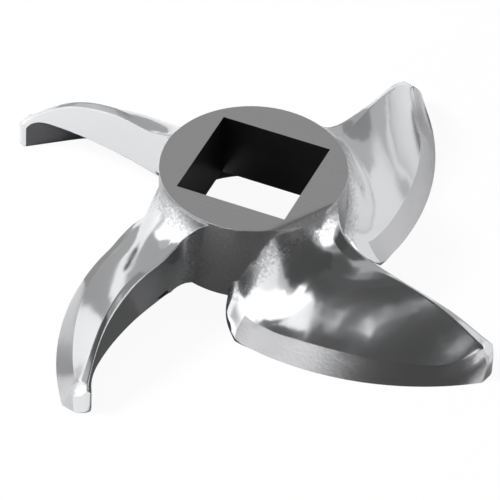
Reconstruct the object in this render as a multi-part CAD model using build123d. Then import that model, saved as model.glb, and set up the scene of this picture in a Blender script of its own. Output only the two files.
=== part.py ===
"""Four-arm meat grinder knife: one stainless casting, ground on its working faces.

Frame: Z is the drive axis, Z = 0 is the cutting plane and the flats of the square
bore face X and Y. One arm is drawn along +X and then turned into its places.
Lengths are in millimetres and angles in degrees.
"""

import math
import os

from build123d import *

# Drive and hub
BORE_FLATS = 19.0  # square drive hole, across flats
HUB_DIAMETER = 30.8
HEIGHT = 18.6  # cutting plane to hub top
BORE_LENGTH = 11.9
RIM_HEIGHT = 4.0  # lower rim of the hub above the cutting plane
DISH_MOUTH = 29.2  # coned hollow under the hub, at its mouth
DISH_FLOOR = 27.4  # and where it meets the bore's end
RELIEF_DIAMETER = 43.2  # the cutting faces begin at this circle
RELIEF_COVE = 5.4  # the relief curves up to the rim over this much radius

# Flat dressed on the hub's top rim, over the first arm
RIM_FLAT_REACH = 14.1  # from the axis to the flat's upper edge
RIM_FLAT_SLOPE = 35.0
RIM_FLAT_BEARING = -32.0

# Arms
ARMS = 4
ARM_BEARING = -20.0  # drawing axis of the first arm, from the bore's flats
SWEPT_DIAMETER = 95.8
TIP_REACH = 8.0  # how far the tip stands off the arm's drawing axis
TIP_CORNER = 2.5  # corner radius of the tip, in plan
TIP_ARC = ((0.3, 0.4), (-0.3, 3.4), (-1.5, 5.1))  # tip's edge: out from the circle, height
BEVEL_WIDTH = 2.65  # leading bevel, in plan
BEVEL_END = 46.0  # the bevel's crease runs straight beyond this station
WALL_FOOT = 4.0  # the trailing wall stands upright below this height
ROOT_X = 12.6  # the leading edge lifts off the cutting plane inside this station
ROOT_LIFT = 5.0  # and is up at the hub's rim after this much more

# Undercut behind the cutting land
LAND_WIDTH = 3.8  # cutting face behind the leading edge
LAND_STEP = 1.2  # depth of the undercut directly behind the land
UNDERCUT_WIDTH = 5.4  # least width, from the land to the trailing lip
POCKET_WALL_IN = (39.5, -1.0)  # closed end of the undercut, in plan, at the land
POCKET_WALL_OUT = (45.2, 8.0)  # and at the trailing side
POCKET_RADIUS = 4.0

# Web and flare that join an arm to the hub
WEB_WIDTH = 6.2  # reach of the coved web
WEB_POWER = 1.6  # how hollow the cove is
WEB_STEP = 0.4  # the web starts this far below the hub top
WEB_CROWN_Y = -9.0  # its crown leaves the hub top here, towards the leading side
WEB_DROP = 2.6  # and drops this much per millimetre
FLARE_START = 19.0  # the trailing wall widens into the hub inside this station
FLARE_RADIUS = 5.0

# Plan arcs of an arm as centre x, centre y, radius
LEADING_ARC = (8.0, 30.0, 47.6)
FRONT_CREST_ARC = (15.6, 74.4, 74.9)
REAR_CREST_ARC = (23.1, 47.1, 45.7)
TRAILING_ARC = (16.7, 54.0, 54.3)

# Side view of an arm's creases and of its trailing lip, as (x, height) points
BEVEL_SIDE = (
    *((6.0, 6.0), (9.0, 5.2), (13.0, 3.6), (24.0, 3.4)),
    *((40.0, 2.2), (43.0, 2.4), (45.6, 4.9), (49.0, 3.4)),
)
FRONT_CREST_SIDE = (
    *((6.0, 13.0), (24.0, 13.1), (33.0, 12.9), (38.6, 10.9)),
    *((42.0, 8.6), (45.6, 5.5), (49.0, 3.6)),
)
REAR_CREST_SIDE = (
    *((6.0, 13.9), (24.0, 13.4), (33.0, 12.05), (39.2, 10.2)),
    *((42.2, 8.3), (45.3, 5.7), (49.0, 3.8)),
)
LIP_SIDE = ((6.0, 2.2), (14.0, 2.7), (23.0, 3.4), (33.0, 4.6), (41.0, 5.9), (50.0, 7.0))

# Stations of the sections: close together where the web rises and where the tip falls
STATIONS = (6.0, 9.0, 12.5, 15.5, 18.5, 22.0, 27.0, 33.0, 39.0, 43.0, 46.0, 49.0)
UNDERCUT_STATIONS = (9.0, 16.0, 24.0, 32.0, 38.0, 43.0, 48.0)

HUB_RADIUS = HUB_DIAMETER / 2
SWEPT_RADIUS = SWEPT_DIAMETER / 2
FACE_POINTS = 6  # points that carry a section's broad face
SKIN = 1.0  # excess left on ground faces before they are cut back
OVERRUN = 2.0  # how far a cutter runs past the face it opens


def plan_y(arc, x):
    """Y of the lower half of a plan arc at station x."""
    centre_x, centre_y, radius = arc
    return centre_y - math.sqrt(radius**2 - (x - centre_x) ** 2)


def side_curve(points):
    """Smooth side-view curve through a few (x, height) points."""
    return Spline(*[(x, z) for x, z in points])


def height_at(curve, x):
    """Height of a side-view curve at station x, by bisection along it."""
    low, high = 0.0, 1.0
    for _ in range(40):
        middle = (low + high) / 2
        if curve.position_at(middle).X < x:
            low = middle
        else:
            high = middle
    return curve.position_at(low).Y


bevel_side = side_curve(BEVEL_SIDE)
front_side = side_curve(FRONT_CREST_SIDE)
rear_side = side_curve(REAR_CREST_SIDE)
lip_side = side_curve(LIP_SIDE)


def leading_edge(x):
    """Plan position and height of the leading edge."""
    if x >= ROOT_X:
        return plan_y(LEADING_ARC, x), 0.0
    inward = ROOT_X - x
    y = plan_y(LEADING_ARC, ROOT_X) + 0.54 * inward
    z = RIM_HEIGHT * math.sqrt(1 - (1 - min(inward / ROOT_LIFT, 1.0)) ** 2)
    return y, z


def bevel_top(x):
    """Crease between the leading bevel and the broad face."""
    centre_x, centre_y, radius = LEADING_ARC
    y = plan_y((centre_x, centre_y, radius - BEVEL_WIDTH), min(max(x, ROOT_X), BEVEL_END))
    if x < ROOT_X:
        y += 0.37 * (ROOT_X - x)
    return min(y, plan_y(FRONT_CREST_ARC, x) - 0.5), height_at(bevel_side, x)


def web_rise(x, y, z):
    """Height with the coved web that climbs to the hub added to it."""
    gap = math.hypot(x, y) - HUB_RADIUS
    reach = min(max(1 - gap / WEB_WIDTH, 0.0), 1.0)
    crown = HEIGHT - WEB_STEP - WEB_DROP * max(WEB_CROWN_Y - y, 0.0)
    return z + max(crown - z, 0.0) * reach**WEB_POWER


def flare(x):
    """Widening of the trailing wall where it runs into the hub, as a quarter round in plan."""
    inward = min(max(FLARE_START - x, 0.0), 0.95 * FLARE_RADIUS)
    return FLARE_RADIUS - math.sqrt(FLARE_RADIUS**2 - inward**2)


def section(x):
    """Closed section of the arm at station x, on the plane square to its axis."""
    y1, z1 = leading_edge(x)
    y2, z2 = bevel_top(x)
    y3, z3 = plan_y(FRONT_CREST_ARC, x), height_at(front_side, x)
    y4, z4 = plan_y(REAR_CREST_ARC, x) + flare(x), height_at(rear_side, x)
    y6 = plan_y(TRAILING_ARC, x) + flare(x)
    swell = max(1 - (x - 6.0) / 30.0, 0.0)  # the face is fullest near the hub
    run, rise = y3 - y2, z3 - z2
    handles = (
        (y2 + 0.30 * run, z2 + (0.26 + 0.10 * swell) * rise),
        (y3 - (0.30 + 0.35 * swell) * run, z3 - (0.30 - 0.50 * swell) * rise),
    )
    face = []
    for i in range(FACE_POINTS):
        t = i / (FACE_POINTS - 1)
        a, b, c, d = (1 - t) ** 3, 3 * (1 - t) ** 2 * t, 3 * (1 - t) * t**2, t**3
        y = a * y2 + b * handles[0][0] + c * handles[1][0] + d * y3
        z = a * z2 + b * handles[0][1] + c * handles[1][1] + d * z3
        face.append((y, web_rise(x, y, z)))
    crest = (y4, web_rise(x, y4, z4))
    plane = Plane(origin=(x, 0, 0), x_dir=(0, 1, 0), z_dir=(1, 0, 0))

    def at(point):
        return plane.from_local_coords((point[0], point[1], 0))

    edges = [
        Line(at((y6, -SKIN)), at((y1, -SKIN))),
        Line(at((y1, -SKIN)), at((y1, z1))),
        Line(at((y1, z1)), at(face[0])),
        Spline(*[at(p) for p in face]),
        Line(at(face[-1]), at(crest)),
        Line(at(crest), at((y6, WALL_FOOT))),
        Line(at((y6, WALL_FOOT)), at((y6, -SKIN))),
    ]
    return Wire(edges)


def plan_trim():
    """Everything an arm may cover in plan: the swept circle with the tip's corner rounded."""
    with BuildSketch() as sketch:
        Circle(SWEPT_RADIUS)
        with Locations((0, TIP_REACH - SWEPT_RADIUS)):
            Rectangle(SWEPT_DIAMETER, SWEPT_DIAMETER, mode=Mode.INTERSECT)
        corner = sketch.vertices().sort_by(Axis.Y)[-2:].sort_by(Axis.X)[-1]
        fillet(corner, TIP_CORNER)
    return extrude(sketch.sketch, HEIGHT + 2 * SKIN)


def tip_round():
    """Turned cutter that rounds the top of the tips over to the swept circle."""
    start, middle, end = ((SWEPT_RADIUS + dx, z) for dx, z in TIP_ARC)
    with BuildSketch(Plane.XZ) as sketch:
        with BuildLine():
            ThreePointArc(start, middle, end)
            Polyline(end, (end[0] - 9.0, HEIGHT), (start[0] + 5.0, HEIGHT), start)
        make_face()
    return revolve(sketch.sketch, Axis.Z)


def undercut_section(x):
    """Face at station x of the undercut: low behind the land, rising to the trailing lip."""
    centre_x, centre_y, radius = LEADING_ARC
    rear = (centre_x, centre_y, radius - LAND_WIDTH)
    y_lip = plan_y(TRAILING_ARC, x) + flare(x)
    y_land = min(plan_y(rear, x), y_lip - UNDERCUT_WIDTH)
    lip = height_at(lip_side, x)
    slope = (lip - LAND_STEP) / (y_lip - y_land)
    y_out = y_lip + OVERRUN
    corners = (
        (y_land, -SKIN),
        (y_land, LAND_STEP),
        (y_out, lip + OVERRUN * slope),
        (y_out, -SKIN),
    )
    return Wire.make_polygon([(x, y, z) for y, z in corners])


def undercut():
    """Hollow behind the cutting land, open to the trailing side and closed at the tip."""
    hollow = Solid.make_loft([undercut_section(x) for x in UNDERCUT_STATIONS])
    (in_x, in_y), (out_x, out_y) = POCKET_WALL_IN, POCKET_WALL_OUT
    angle = math.degrees(math.atan2(out_y - in_y, out_x - in_x))
    size = SWEPT_DIAMETER
    keep = Box(size, size, size, align=(Align.CENTER, Align.MIN, Align.CENTER))
    hollow = hollow & Pos(in_x, in_y, 0) * Rot(0, 0, angle) * keep
    wall_x, half_run = (in_x + out_x) / 2, (out_x - in_x) / 2
    edges = [e for e in hollow.edges() if abs(e.center().X - wall_x) < half_run]
    corner = [e for e in edges if e.center().Z > LAND_STEP]
    return fillet(corner, POCKET_RADIUS)


def underside():
    """Turned relief inside the cutting faces, and the coned hollow round the bore's end."""
    outer, step = RELIEF_DIAMETER / 2, RIM_HEIGHT
    inner = outer - RELIEF_COVE
    with BuildSketch(Plane.XZ) as sketch:
        with BuildLine():
            Polyline((0, step), (0, -2 * SKIN), (outer, -2 * SKIN), (outer, 0))
            ThreePointArc((outer, 0), (outer - 0.44 * RELIEF_COVE, 0.65 * step), (inner, step))
            Line((inner, step), (0, step))
        make_face()
    relief = revolve(sketch.sketch, Axis.Z)
    dish = Pos(0, 0, step) * Cone(
        DISH_MOUTH / 2,
        DISH_FLOOR / 2,
        HEIGHT - BORE_LENGTH - step,
        align=(Align.CENTER, Align.CENTER, Align.MIN),
    )
    return relief + dish


def arm():
    """One arm along +X, before the shared relief and bore are cut."""
    body = Solid.make_loft([section(x) for x in STATIONS], ruled=False)
    body = (body & plan_trim()) - tip_round()
    return body - undercut()


def rim_flat():
    """Wedge that takes the flat off the hub's rim where the first arm's web was dressed."""
    block = Box(10, 40, 20, align=(Align.MIN, Align.CENTER, Align.MIN))
    tilted = Pos(RIM_FLAT_REACH, 0, HEIGHT) * Rot(0, RIM_FLAT_SLOPE, 0) * Pos(-5, 0, 0) * block
    return Rot(0, 0, RIM_FLAT_BEARING) * tilted


def knife():
    """The whole casting."""
    blank = arm()
    body = Pos(0, 0, RIM_HEIGHT) * Cylinder(
        HUB_RADIUS, HEIGHT + 4 * SKIN - RIM_HEIGHT, align=(Align.CENTER, Align.CENTER, Align.MIN)
    )
    for i in range(ARMS):
        body = body + Rot(0, 0, ARM_BEARING + 360 / ARMS * i) * blank
    body = body - underside()
    body = body - Box(BORE_FLATS, BORE_FLATS, 4 * HEIGHT)
    slab = Cylinder(SWEPT_DIAMETER, HEIGHT, align=(Align.CENTER, Align.CENTER, Align.MIN))
    return (body & slab) - rim_flat()


body = knife()
os.makedirs("parts", exist_ok=True)
export_step(body, "parts/knife.step")
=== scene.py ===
"""A four-arm meat grinder knife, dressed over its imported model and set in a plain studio.

Lengths are in metres in the row frame: Z is the drive axis, Z = 0 is the cutting plane and
X and Y are square to the flats of the bore.
"""

from __future__ import annotations

import logging
import math
from dataclasses import dataclass
from enum import Enum

import bmesh
import bpy
from mathutils import Matrix, Vector

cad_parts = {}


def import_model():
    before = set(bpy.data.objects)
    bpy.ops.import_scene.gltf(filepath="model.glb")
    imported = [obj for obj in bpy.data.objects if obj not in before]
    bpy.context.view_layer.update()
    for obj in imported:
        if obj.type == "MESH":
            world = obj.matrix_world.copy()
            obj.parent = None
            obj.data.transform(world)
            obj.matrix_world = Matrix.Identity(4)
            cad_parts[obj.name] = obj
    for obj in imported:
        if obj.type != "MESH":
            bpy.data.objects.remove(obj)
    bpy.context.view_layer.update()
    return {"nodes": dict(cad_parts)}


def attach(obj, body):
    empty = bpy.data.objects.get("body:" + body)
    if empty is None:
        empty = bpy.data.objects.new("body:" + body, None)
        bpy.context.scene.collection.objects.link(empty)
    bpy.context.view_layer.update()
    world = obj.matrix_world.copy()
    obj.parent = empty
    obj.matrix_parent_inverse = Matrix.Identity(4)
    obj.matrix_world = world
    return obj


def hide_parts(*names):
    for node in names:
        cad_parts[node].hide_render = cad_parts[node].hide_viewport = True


LOG = logging.getLogger("knife")
MM = 0.001
CAMERA_BEARING = -68.06  # degrees from +X to the camera's side, seen from above
TABLE_DROP = 0.05 * MM  # the table lies this far below the lands, so the two don't flicker
SHADE_SHEET_DROP = 0.03 * MM  # and the painted-shade sheets lie between them


class Shade(Enum):
    """Colours as the eye sees them, in sRGB hex."""

    STUDIO_WHITE = "ffffff"
    POLISHED_STEEL = "dadbdd"
    GROUND_STEEL = "c4c4c5"
    # painted shade: this dark grey stands in for the light lost inside the bore
    BORE_STEEL_PAINTED_SHADE = "4b4b4e"
    # partly painted shade: the cast faces are matt, and this dark grey stands in for shade
    # under the knife and in its hollows
    CAST_STEEL_PAINTED_SHADE = "58585b"
    # partly painted shade: the unpolished corners round the hub, darker as painted shade
    CORNER_STEEL_AND_SHADE = "acacae"
    HONED_STEEL = "c0c0c2"


class Zone(Enum):
    """The parts of the knife's surface that are finished alike, in material slot order."""

    POLISHED = 0
    GROUND = 1
    BORE = 2
    CAST = 3
    BEVEL = 4


def linear(shade: Shade) -> tuple[float, float, float, float]:
    """Turn an sRGB hex colour into the linear values that the shaders take.

    Args:
        shade: The colour as the eye sees it.

    Returns:
        Red, green, blue and alpha, each from 0 to 1.
    """
    channels = [int(shade.value[i : i + 2], 16) / 255 for i in (0, 2, 4)]
    values = [c / 12.92 if c <= 0.04045 else ((c + 0.055) / 1.055) ** 2.4 for c in channels]
    return (*values, 1.0)


def add_node(
    tree: bpy.types.NodeTree, kind: str, links: dict | None = None, **settings: object
) -> bpy.types.Node:
    """Add a shader node, give it its settings and join its inputs.

    Args:
        tree: The node tree that the node goes into.
        kind: The node's type name.
        links: Input name or place to the output socket that feeds it, or to a plain value.
        settings: Attributes of the node.

    Returns:
        The new node.
    """
    node = tree.nodes.new(kind)
    for name, value in settings.items():
        setattr(node, name, value)
    for name, value in (links or {}).items():
        if isinstance(value, bpy.types.NodeSocket):
            tree.links.new(value, node.inputs[name])
        else:
            node.inputs[name].default_value = value
    return node


def metal(name: str, shade: Shade, roughness: float) -> bpy.types.Material:
    """Make a bare metal material to which a finish adds its pattern.

    Args:
        name: The material's name.
        shade: Colour of the light that the metal mirrors.
        roughness: Roughness of the clean surface.

    Returns:
        The material, with its Principled shader set.
    """
    material = bpy.data.materials.new(name)
    material.use_nodes = True
    shader = material.node_tree.nodes["Principled BSDF"]
    shader.inputs["Metallic"].default_value = 1.0
    shader.inputs["Base Color"].default_value = linear(shade)
    shader.inputs["Roughness"].default_value = roughness
    return material


def noise(
    tree: bpy.types.NodeTree, place: bpy.types.NodeSocket, size_mm: float, detail: float
) -> bpy.types.NodeSocket:
    """Add a noise of a real size and give its output."""
    links = {"Vector": place, "Scale": 1 / (size_mm * MM), "Detail": detail}
    return add_node(tree, "ShaderNodeTexNoise", links).outputs[0]


def bump(
    tree: bpy.types.NodeTree,
    height: bpy.types.NodeSocket,
    depth_mm: float,
    strength: bpy.types.NodeSocket | float = 1.0,
    under: bpy.types.NodeSocket | None = None,
) -> bpy.types.NodeSocket:
    """Turn a pattern into a relief.

    Args:
        tree: The node tree that the relief goes into.
        height: The pattern, from 0 to 1.
        depth_mm: How deep the relief is where the pattern runs from 0 to 1.
        strength: How much of the relief shows.
        under: The normal that the relief lies on, where it isn't the mesh's own.

    Returns:
        The normal with the relief in it.
    """
    links = {"Height": height, "Distance": depth_mm * MM, "Strength": strength}
    if under is not None:
        links["Normal"] = under
    return add_node(tree, "ShaderNodeBump", links).outputs[0]


@dataclass(frozen=True)
class PolishedCasting:
    """Stainless casting polished on a belt and a mop: a soft mirror with a slow waviness.

    The mop rounds the edges a little and doesn't reach into the corners round the hub, so the
    unpolished casting stays there, duller and grained, and darker in colour as painted shade.
    """

    roughness: float = 0.15
    wave_mm: float = 8.0
    wave_depth_mm: float = 0.02
    edge_mm: float = 0.45
    edge_samples: int = 8
    grain_mm: float = 0.5
    grain_depth_mm: float = 0.06
    grain_roughness: float = 0.38
    corner_mm: tuple[float, float] = (15.5, 17.5)  # the unpolished corner and its painted shade fade between these circles
    ragged_mm: float = 4.0  # how far the grain breaks up the skin's border

    def build(self) -> bpy.types.Material:
        """Make the material.

        Returns:
            The material, set on its shader.
        """
        material = metal("polished_stainless_casting", Shade.POLISHED_STEEL, self.roughness)
        tree = material.node_tree
        shader = tree.nodes["Principled BSDF"]
        place = add_node(tree, "ShaderNodeTexCoord").outputs["Object"]
        grain = noise(tree, place, self.grain_mm, 3.0)
        corner = self.corner(tree, place, grain)
        edge_links = {"Radius": self.edge_mm * MM}
        edge = add_node(tree, "ShaderNodeBevel", edge_links, samples=self.edge_samples)
        wave = noise(tree, place, self.wave_mm, 1.0)
        wavy = bump(tree, wave, self.wave_depth_mm, under=edge.outputs[0])
        grainy = bump(tree, grain, self.grain_depth_mm, corner, wavy)
        tree.links.new(grainy, shader.inputs["Normal"])
        dull_links = {"Value": corner, "To Min": self.roughness, "To Max": self.grain_roughness}
        dull = add_node(tree, "ShaderNodeMapRange", dull_links)
        tree.links.new(dull.outputs[0], shader.inputs["Roughness"])
        # partly painted shade: the base colour darkens in the corners round the hub
        corner_colour_with_shade_links = {0: corner, 6: linear(Shade.POLISHED_STEEL), 7: linear(Shade.CORNER_STEEL_AND_SHADE)}
        corner_colour_with_shade = add_node(tree, "ShaderNodeMix", corner_colour_with_shade_links, data_type="RGBA")
        tree.links.new(corner_colour_with_shade.outputs[2], shader.inputs["Base Color"])
        return material

    def corner(
        self,
        tree: bpy.types.NodeTree,
        place: bpy.types.NodeSocket,
        grain: bpy.types.NodeSocket,
    ) -> bpy.types.NodeSocket:
        """Mask the corners round the hub, with a ragged border.

        Args:
            tree: The node tree that the mask goes into.
            place: The point on the piece.
            grain: The noise that breaks up the border.

        Returns:
            The mask: 1 in the corners and 0 out on the arms.
        """
        level = {0: place, 1: (1, 1, 0)}
        flat = add_node(tree, "ShaderNodeVectorMath", level, operation="MULTIPLY")
        span = {0: flat.outputs[0]}
        reach = add_node(tree, "ShaderNodeVectorMath", span, operation="LENGTH")
        sway = {0: grain, 1: self.ragged_mm * MM, 2: reach.outputs["Value"]}
        ragged = add_node(tree, "ShaderNodeMath", sway, operation="MULTIPLY_ADD")
        near, far = ((r + self.ragged_mm / 2) * MM for r in self.corner_mm)
        fade = {"Value": ragged.outputs[0], "From Min": far, "From Max": near}
        return add_node(tree, "ShaderNodeMapRange", fade).outputs[0]


@dataclass(frozen=True)
class GroundFace:
    """Stainless steel ground flat: satin, with straight fine lines one way."""

    roughness: float = 0.42
    line_mm: float = 0.35  # real grit lines are finer than shows, so they are drawn wider
    line_length_mm: float = 30.0
    line_depth_mm: float = 0.06
    bearing: float = 20.0

    def build(self) -> bpy.types.Material:
        """Make the material.

        Returns:
            The material, set on its shader.
        """
        material = metal("surface_ground_stainless", Shade.GROUND_STEEL, self.roughness)
        tree = material.node_tree
        stretch = {
            "Vector": add_node(tree, "ShaderNodeTexCoord").outputs["Object"],
            "Rotation": (0, 0, -math.radians(self.bearing)),
            "Scale": (1 / (self.line_length_mm * MM), 1 / (self.line_mm * MM), 1.0),
        }
        along = add_node(tree, "ShaderNodeMapping", stretch, vector_type="POINT").outputs[0]
        links = {"Vector": along, "Scale": 1.0, "Detail": 3.0}
        lines = add_node(tree, "ShaderNodeTexNoise", links).outputs[0]
        relief = bump(tree, lines, self.line_depth_mm)
        tree.links.new(relief, tree.nodes["Principled BSDF"].inputs["Normal"])
        return material


@dataclass(frozen=True)
class BroachedBore:
    """Stainless steel broached square: dull, and dark as painted shade for the light lost
    between its walls.
    """

    roughness: float = 0.38

    def build(self) -> bpy.types.Material:
        """Make the material."""
        return metal("broached_stainless_painted_shade", Shade.BORE_STEEL_PAINTED_SHADE, self.roughness)


@dataclass(frozen=True)
class CastSkinAndShade:
    """Stainless casting as shot-blasted: matt, and an even dark grey as painted shade on the
    faces that look down or into hollows.
    """

    roughness: float = 0.5

    def build(self) -> bpy.types.Material:
        """Make the material."""
        return metal("blasted_casting_painted_shade", Shade.CAST_STEEL_PAINTED_SHADE, self.roughness)


@dataclass(frozen=True)
class HonedBevel:
    """Stainless steel honed on a wheel: satin, with a fine tooth across the edge."""

    roughness: float = 0.27
    tooth_mm: float = 0.6
    tooth_depth_mm: float = 0.012

    def build(self) -> bpy.types.Material:
        """Make the material.

        Returns:
            The material, set on its shader.
        """
        material = metal("honed_stainless", Shade.HONED_STEEL, self.roughness)
        tree = material.node_tree
        place = add_node(tree, "ShaderNodeTexCoord").outputs["Object"]
        tooth = noise(tree, place, self.tooth_mm, 4.0)
        relief = bump(tree, tooth, self.tooth_depth_mm)
        tree.links.new(relief, tree.nodes["Principled BSDF"].inputs["Normal"])
        return material


@dataclass(frozen=True)
class PlanArc:
    """Arc of an arm's crease in plan, in the arm's own frame and in millimetres."""

    x: float
    y: float
    radius: float

    def at(self, station: float) -> float:
        """Give the lower half's Y at a station along the arm."""
        return self.y - math.sqrt(self.radius**2 - (station - self.x) ** 2)


@dataclass(frozen=True)
class ArmPlan:
    """Where the creases of an arm run in plan, as the solid's own sections have them.

    Lengths are in millimetres, in the arm's own frame: X runs out along its drawing axis.
    """

    first_bearing: float = math.radians(-20.0)
    arms: int = 4
    leading: PlanArc = PlanArc(8.0, 30.0, 47.6)
    front_crest: PlanArc = PlanArc(15.6, 74.4, 74.9)
    rear_crest: PlanArc = PlanArc(23.1, 47.1, 45.7)
    bevel: PlanArc = PlanArc(8.0, 30.0, 44.95)
    inner: float = 6.0
    root: float = 12.6
    root_lean: float = 0.37  # the bevel's top leans towards the crest inside the root
    least_face: float = 0.5  # between the bevel's top and the front crest
    bevel_end: float = 46.0
    tip: float = 48.0
    flare_start: float = 19.0
    flare_radius: float = 5.0
    flare_share: float = 0.95  # of its radius that the flare reaches
    on_line: float = 0.12
    on_edge: float = 0.2

    def creases(self, station: float) -> tuple[float, float, float]:
        """Give the creases' Y at a station.

        Args:
            station: Distance along the arm.

        Returns:
            Y of the bevel's top, of the front crest and of the rear crest.
        """
        inward = min(max(self.flare_start - station, 0.0), self.flare_share * self.flare_radius)
        flare = self.flare_radius - math.sqrt(self.flare_radius**2 - inward**2)
        bevel = self.bevel.at(min(max(station, self.root), self.bevel_end))
        bevel += self.root_lean * max(self.root - station, 0.0)
        front = self.front_crest.at(station)
        rear = self.rear_crest.at(station) + flare
        return min(bevel, front - self.least_face), front, rear

    def stations(self, place: Vector) -> list[tuple[float, float]]:
        """Give a point's place on each arm.

        Args:
            place: The point, in the row frame.

        Returns:
            Its X and Y in each arm's own frame.
        """
        turns = [self.first_bearing + 2 * math.pi * i / self.arms for i in range(self.arms)]
        turned = [Matrix.Rotation(-turn, 3, "Z") @ place / MM for turn in turns]
        return [(point.x, point.y) for point in turned]

    def on_bevel(self, place: Vector) -> bool:
        """Tell whether a point of the top lies on an arm's leading bevel.

        Args:
            place: The point, in the row frame.

        Returns:
            True on a bevel.
        """
        return any(
            self.root < x < self.tip
            and self.leading.at(x) - self.on_edge < y < self.creases(x)[0]
            for x, y in self.stations(place)
        )

    def creases_at(self, place: Vector) -> set[tuple[int, int]]:
        """Tell on which creases a point lies.

        Args:
            place: The point, in the row frame.

        Returns:
            The arm's and the crease's number for each.
        """
        return {
            (arm, crease)
            for arm, (x, y) in enumerate(self.stations(place))
            if self.inner < x < self.tip
            for crease, line in enumerate(self.creases(x))
            if abs(y - line) < self.on_line
        }


@dataclass
class Knife:
    """The casting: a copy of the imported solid, shaded by its creases and finished by zone."""

    height: float = 18.6 * MM
    bore_flats: float = 19.0 * MM
    hub_radius: float = 15.4 * MM
    relief_radius: float = 21.6 * MM
    rim_height: float = 4.0 * MM
    pocket_start: float = 38.0 * MM
    near: float = 0.02 * MM
    overhang: float = -0.3  # a face's normal Z, where it counts as facing down
    pocket_facing: float = -0.55  # a pocket wall's normal, along the way out from the axis
    sharp: float = math.radians(38.0)
    crease: float = math.radians(3.0)
    weld: float = 1e-6
    shading_weight: int = 50
    plan: ArmPlan = ArmPlan()

    def build(self, node: bpy.types.Object) -> bpy.types.Object:
        """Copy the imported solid, merge it, shade it smooth and give it its finishes.

        Args:
            node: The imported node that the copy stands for.

        Returns:
            The finished piece.
        """
        bpy.ops.object.select_all(action="DESELECT")
        node.select_set(True)
        bpy.context.view_layer.objects.active = node
        bpy.ops.object.duplicate()
        piece = bpy.context.active_object
        piece.name = piece.data.name = "knife_casting"
        bpy.ops.mesh.customdata_custom_splitnormals_clear()
        bpy.ops.object.mode_set(mode="EDIT")
        bpy.ops.mesh.select_all(action="SELECT")
        bpy.ops.mesh.remove_doubles(threshold=self.weld)
        bpy.ops.object.mode_set(mode="OBJECT")
        self.mark_creases(piece.data)
        self.even(piece)
        self.finish(piece)
        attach(piece, "root")
        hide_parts("knife")
        return piece

    def mark_creases(self, mesh: bpy.types.Mesh) -> None:
        """Shade the mesh smooth, and sharp along the edges and creases of the casting.

        Args:
            mesh: The merged mesh.
        """
        work = bmesh.new()
        work.from_mesh(mesh)
        for face in work.faces:
            face.smooth = True
        on = {v: self.plan.creases_at(v.co) for v in work.verts}
        for edge in work.edges:
            if len(edge.link_faces) != 2:
                continue
            angle = edge.calc_face_angle()
            start, end = (on[v] for v in edge.verts)
            along = bool(start & end) and angle > self.crease
            edge.smooth = not (along or angle > self.sharp)
        work.to_mesh(mesh)
        work.free()

    def even(self, piece: bpy.types.Object) -> None:
        """Weigh the shading by face area, so that thin slivers don't show.

        Args:
            piece: The piece, which is the active object.
        """
        modifier = piece.modifiers.new("weighted", "WEIGHTED_NORMAL")
        modifier.keep_sharp, modifier.weight = True, self.shading_weight
        bpy.ops.object.modifier_apply(modifier=modifier.name)

    def finish(self, piece: bpy.types.Object) -> None:
        """Give each zone of the surface its material.

        Args:
            piece: The piece to finish.
        """
        finishes = {
            Zone.POLISHED: PolishedCasting(),
            Zone.GROUND: GroundFace(),
            Zone.BORE: BroachedBore(),
            Zone.CAST: CastSkinAndShade(),
            Zone.BEVEL: HonedBevel(),
        }
        piece.data.materials.clear()
        for zone in Zone:
            piece.data.materials.append(finishes[zone].build())
        for face in piece.data.polygons:
            face.material_index = self.zone(face.center, face.normal).value

    def zone(self, centre: Vector, normal: Vector) -> Zone:
        """Tell which finish a face has from its place and direction.

        Args:
            centre: Middle of the face.
            normal: Direction that the face looks in.

        Returns:
            The zone that the face belongs to.
        """
        reach = math.hypot(centre.x, centre.y)
        square = max(abs(centre.x), abs(centre.y))
        if centre.z > self.height - self.near or (centre.z < self.near and normal.z < -0.9):
            return Zone.GROUND
        if square < self.bore_flats / 2 + self.near and abs(normal.z) < 0.1:
            return Zone.BORE
        facing = (centre.x * normal.x + centre.y * normal.y) / reach
        low = centre.z < self.rim_height - self.near
        dish = facing < 0 and reach < self.hub_radius
        relief = facing < 0 and reach < self.relief_radius and low
        pocket = facing < self.pocket_facing and reach > self.pocket_start
        # painted shade: faces that look down or into the dish, the relief and the pockets take
        # the dark cast colour
        if normal.z < self.overhang or dish or relief or pocket:
            return Zone.CAST
        if self.plan.on_bevel(centre):
            return Zone.BEVEL
        return Zone.POLISHED


@dataclass
class Camera:
    """Long lens on the knife from above its front."""

    azimuth: float = -21.94450
    elevation: float = 42.16897
    roll: float = -2.23548
    distance: float = 813.65 * MM
    focal_length: float = 360.0
    sensor: float = 36.0
    pivot: tuple[float, float, float] = (0.0, 0.0, 18.6 * MM)
    offset: tuple[float, float] = (0.607 * MM, 13.405 * MM)

    def build(self) -> bpy.types.Object:
        """Make the camera and set it as the scene's own.

        Returns:
            The camera object.
        """
        turn = Matrix.Rotation(math.radians(self.azimuth), 4, "Z")
        tilt = Matrix.Rotation(math.radians(self.elevation - 90.0), 4, "X")
        roll = Matrix.Rotation(math.radians(self.roll), 4, "Z")
        shift = Matrix.Translation((*self.offset, -self.distance))
        world_to_camera = shift @ roll @ tilt @ turn @ Matrix.Translation(-Vector(self.pivot))
        data = bpy.data.cameras.new("camera")
        data.lens, data.sensor_width = self.focal_length, self.sensor
        data.clip_start, data.clip_end = 0.01, 20.0
        camera = bpy.data.objects.new("camera", data)
        camera.matrix_world = world_to_camera.inverted()
        bpy.context.scene.collection.objects.link(camera)
        bpy.context.scene.camera = camera
        return camera


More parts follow.
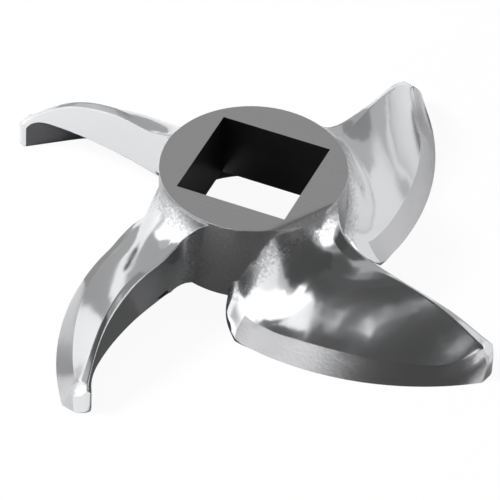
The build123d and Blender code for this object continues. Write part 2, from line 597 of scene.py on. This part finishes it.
def direction(bearing: float, elevation: float) -> Vector:
    """Give the way from the knife to a place in the studio.

    Args:
        bearing: Degrees from the camera's side, counter-clockwise seen from above.
        elevation: Degrees above the table.

    Returns:
        The direction, one metre long.
    """
    turn, rise = math.radians(bearing + CAMERA_BEARING), math.radians(elevation)
    level = math.cos(rise)
    return Vector((level * math.cos(turn), level * math.sin(turn), math.sin(rise)))


def mirror_only(panel: bpy.types.Object, strength: float) -> None:
    """Make a panel glow evenly and show in the steel alone.

    Args:
        panel: The panel.
        strength: How brightly it glows, where the studio's white is 1.
    """
    material = bpy.data.materials.new(panel.name)
    material.use_nodes = True
    tree = material.node_tree
    tree.nodes.remove(tree.nodes["Principled BSDF"])
    links = {"Color": linear(Shade.STUDIO_WHITE), "Strength": strength}
    glow = add_node(tree, "ShaderNodeEmission", links)
    tree.links.new(glow.outputs[0], tree.nodes["Material Output"].inputs["Surface"])
    panel.data.materials.append(material)
    panel.visible_camera = panel.visible_diffuse = panel.visible_shadow = False


@dataclass(frozen=True)
class Card:
    """A flat lit or dark panel that the polished steel mirrors.

    Its middle is at a bearing from the camera's side of the knife, counter-clockwise seen
    from above, and at an elevation. Its width and height are the angles that it spans.
    """

    name: str
    bearing: float
    elevation: float
    width: float
    height: float
    strength: float
    distance: float = 1.6

    def build(self) -> bpy.types.Object:
        """Stand the panel up, facing the knife.

        Returns:
            The panel.
        """
        way = direction(self.bearing, self.elevation)
        bpy.ops.object.select_all(action="DESELECT")
        bpy.ops.mesh.primitive_plane_add(size=1.0, location=way * self.distance)
        panel = bpy.context.active_object
        panel.name = self.name
        panel.rotation_euler = way.to_track_quat("Z", "Y").to_euler()
        spans = [2 * math.tan(math.radians(a) / 2) for a in (self.width, self.height)]
        panel.scale = (spans[0] * self.distance, spans[1] * self.distance, 1.0)
        mirror_only(panel, self.strength)
        return panel


@dataclass(frozen=True)
class ShadeSheet:
    """A faintly glowing sheet on the table beside the knife, which only its polished sides
    mirror: painted shade that darkens the table in the steel's reflections.
    """

    name: str
    bearing: float
    reach_mm: float
    size_mm: tuple[float, float]
    strength: float

    def build(self) -> bpy.types.Object:
        """Lay the sheet, with its length away from the knife.

        Returns:
            The sheet.
        """
        way = direction(self.bearing, 0.0)
        bpy.ops.object.select_all(action="DESELECT")
        place = way * self.reach_mm * MM + Vector((0, 0, -SHADE_SHEET_DROP))
        bpy.ops.mesh.primitive_plane_add(size=1.0, location=place)
        sheet = bpy.context.active_object
        sheet.name = self.name
        sheet.rotation_euler = (0, 0, math.atan2(way.y, way.x))
        sheet.scale = (self.size_mm[0] * MM, self.size_mm[1] * MM, 1.0)
        mirror_only(sheet, self.strength)
        return sheet


@dataclass
class Studio:
    """White table under the knife, an even surround and the panels that it mirrors."""

    floor_size: float = 6.0
    floor_roughness: float = 0.9
    shadow: float = 0.06  # share of the knife's shadow that the table shows
    key_bearing: float = -85.0
    key_elevation: float = 46.0
    key_power: float = 3.8
    key_size: float = 0.15
    key_distance: float = 0.6
    fill: float = 0.65  # share of the surround's light that falls on the table
    horizon: float = 0.75
    slopes: tuple[tuple[float, float], ...] = ((0.60, 0.45), (0.86, 0.40), (0.93, 0.11))
    zenith: float = 0.11
    cards: tuple[Card, ...] = (
        Card("front_left_softbox", -39, 17, 44, 33, 1.7),
        Card("front_left_upper_card", -58, 34, 16, 13, 1.3),
        Card("left_softbox", -94, 20, 50, 30, 1.5),
        Card("left_upper_card", -100, 43, 50, 16, 0.62),
        Card("front_flag", 20, 36, 62, 76, 0.08, 1.4),
        Card("front_inner_flag", -20, 38, 22, 19, 0.09, 1.4),
        Card("front_middle_flag", -37, 44, 20, 20, 0.09, 1.3),
        Card("front_upper_flag", -38, 56, 60, 28, 0.11, 1.5),
        Card("right_softbox", 76, 22, 26, 16, 2.0),
        Card("right_near_card", 98, 12, 58, 50, 0.95, 1.7),
        Card("right_far_card", 138, 22, 46, 34, 0.55),
        Card("right_upper_card", 130, 50, 70, 22, 0.32),
        Card("back_left_card", -152, 25, 60, 76, 0.48),
        Card("back_card", 178, 25, 32, 76, 0.48),
    )
    # painted shade: dark sheets that the steel mirrors in place of the table's shaded parts
    shade_sheets: tuple[ShadeSheet, ...] = (
        ShadeSheet("front_painted_shade", 6, 92, (150, 46), 0.10),
        ShadeSheet("left_painted_shade", -90, 32, (24, 16), 0.4),
    )

    def floor(self) -> bpy.types.Object:
        """Lay the table at the knife's lowest point.

        Returns:
            The table.
        """
        bpy.ops.object.select_all(action="DESELECT")
        bpy.ops.mesh.primitive_plane_add(size=self.floor_size, location=(0, 0, -TABLE_DROP))
        floor = bpy.context.active_object
        floor.name = "studio_floor"
        material = bpy.data.materials.new("studio_floor_white")
        material.use_nodes = True
        tree = material.node_tree
        shader = tree.nodes["Principled BSDF"]
        shader.inputs["Base Color"].default_value = linear(Shade.STUDIO_WHITE)
        shader.inputs["Roughness"].default_value = self.floor_roughness
        paths = add_node(tree, "ShaderNodeLightPath")
        share = {0: paths.outputs["Is Camera Ray"], 1: 1.0 - self.shadow}
        seen = add_node(tree, "ShaderNodeMath", share, operation="MULTIPLY")
        glow = add_node(tree, "ShaderNodeEmission", {"Color": linear(Shade.STUDIO_WHITE)})
        both = {0: seen.outputs[0], 1: shader.outputs[0], 2: glow.outputs[0]}
        mix = add_node(tree, "ShaderNodeMixShader", both)
        tree.links.new(mix.outputs[0], tree.nodes["Material Output"].inputs["Surface"])
        floor.data.materials.append(material)
        return floor

    def surround(self) -> None:
        """Give the scene an even pale surround that is darker overhead."""
        world = bpy.data.worlds.new("studio_surround")
        world.use_nodes = True
        tree = world.node_tree
        place = add_node(tree, "ShaderNodeTexCoord")
        axes = add_node(tree, "ShaderNodeSeparateXYZ", {0: place.outputs["Generated"]})
        ramp = add_node(tree, "ShaderNodeValToRGB", {0: axes.outputs["Z"]})
        for stop, level in self.slopes:
            ramp.color_ramp.elements.new(stop).color = (level, level, level, 1)
        for end, level in ((0, self.horizon), (-1, self.zenith)):
            ramp.color_ramp.elements[end].color = (level, level, level, 1)
        paths = add_node(tree, "ShaderNodeLightPath")
        white = linear(Shade.STUDIO_WHITE)
        views = {"Factor": paths.outputs["Is Camera Ray"], 6: ramp.outputs[0], 7: white}
        mix = add_node(tree, "ShaderNodeMix", views, data_type="RGBA")
        tree.links.new(mix.outputs[2], tree.nodes["Background"].inputs["Color"])
        shares = {"Value": paths.outputs["Is Diffuse Ray"], "To Min": 1.0, "To Max": self.fill}
        strength = add_node(tree, "ShaderNodeMapRange", shares)
        tree.links.new(strength.outputs[0], tree.nodes["Background"].inputs["Strength"])
        bpy.context.scene.world = world

    def key(self) -> bpy.types.Object:
        """Hang the key lamp at the front left.

        Returns:
            The lamp.
        """
        way = direction(self.key_bearing, self.key_elevation) * self.key_distance
        data = bpy.data.lights.new("key_lamp", "AREA")
        data.energy, data.size = self.key_power, self.key_size
        lamp = bpy.data.objects.new("key_lamp", data)
        lamp.location = way
        lamp.rotation_euler = way.to_track_quat("Z", "Y").to_euler()
        lamp.visible_glossy = False
        bpy.context.scene.collection.objects.link(lamp)
        return lamp

    def build(self) -> None:
        """Set up the table, the surround, the lamp and the panels."""
        self.floor()
        self.key()
        self.surround()
        for panel in (*self.cards, *self.shade_sheets):
            panel.build()


def main() -> None:
    """Load the frame, dress it, set the studio and the camera."""
    logging.basicConfig(level=logging.INFO, format="%(name)s: %(message)s")
    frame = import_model()
    bpy.context.scene.view_settings.view_transform = "Standard"
    piece = Knife().build(frame["nodes"]["knife"])
    LOG.info("%s: %d faces", piece.name, len(piece.data.polygons))
    Studio().build()
    Camera().build()


if __name__ == "__main__":
    main()
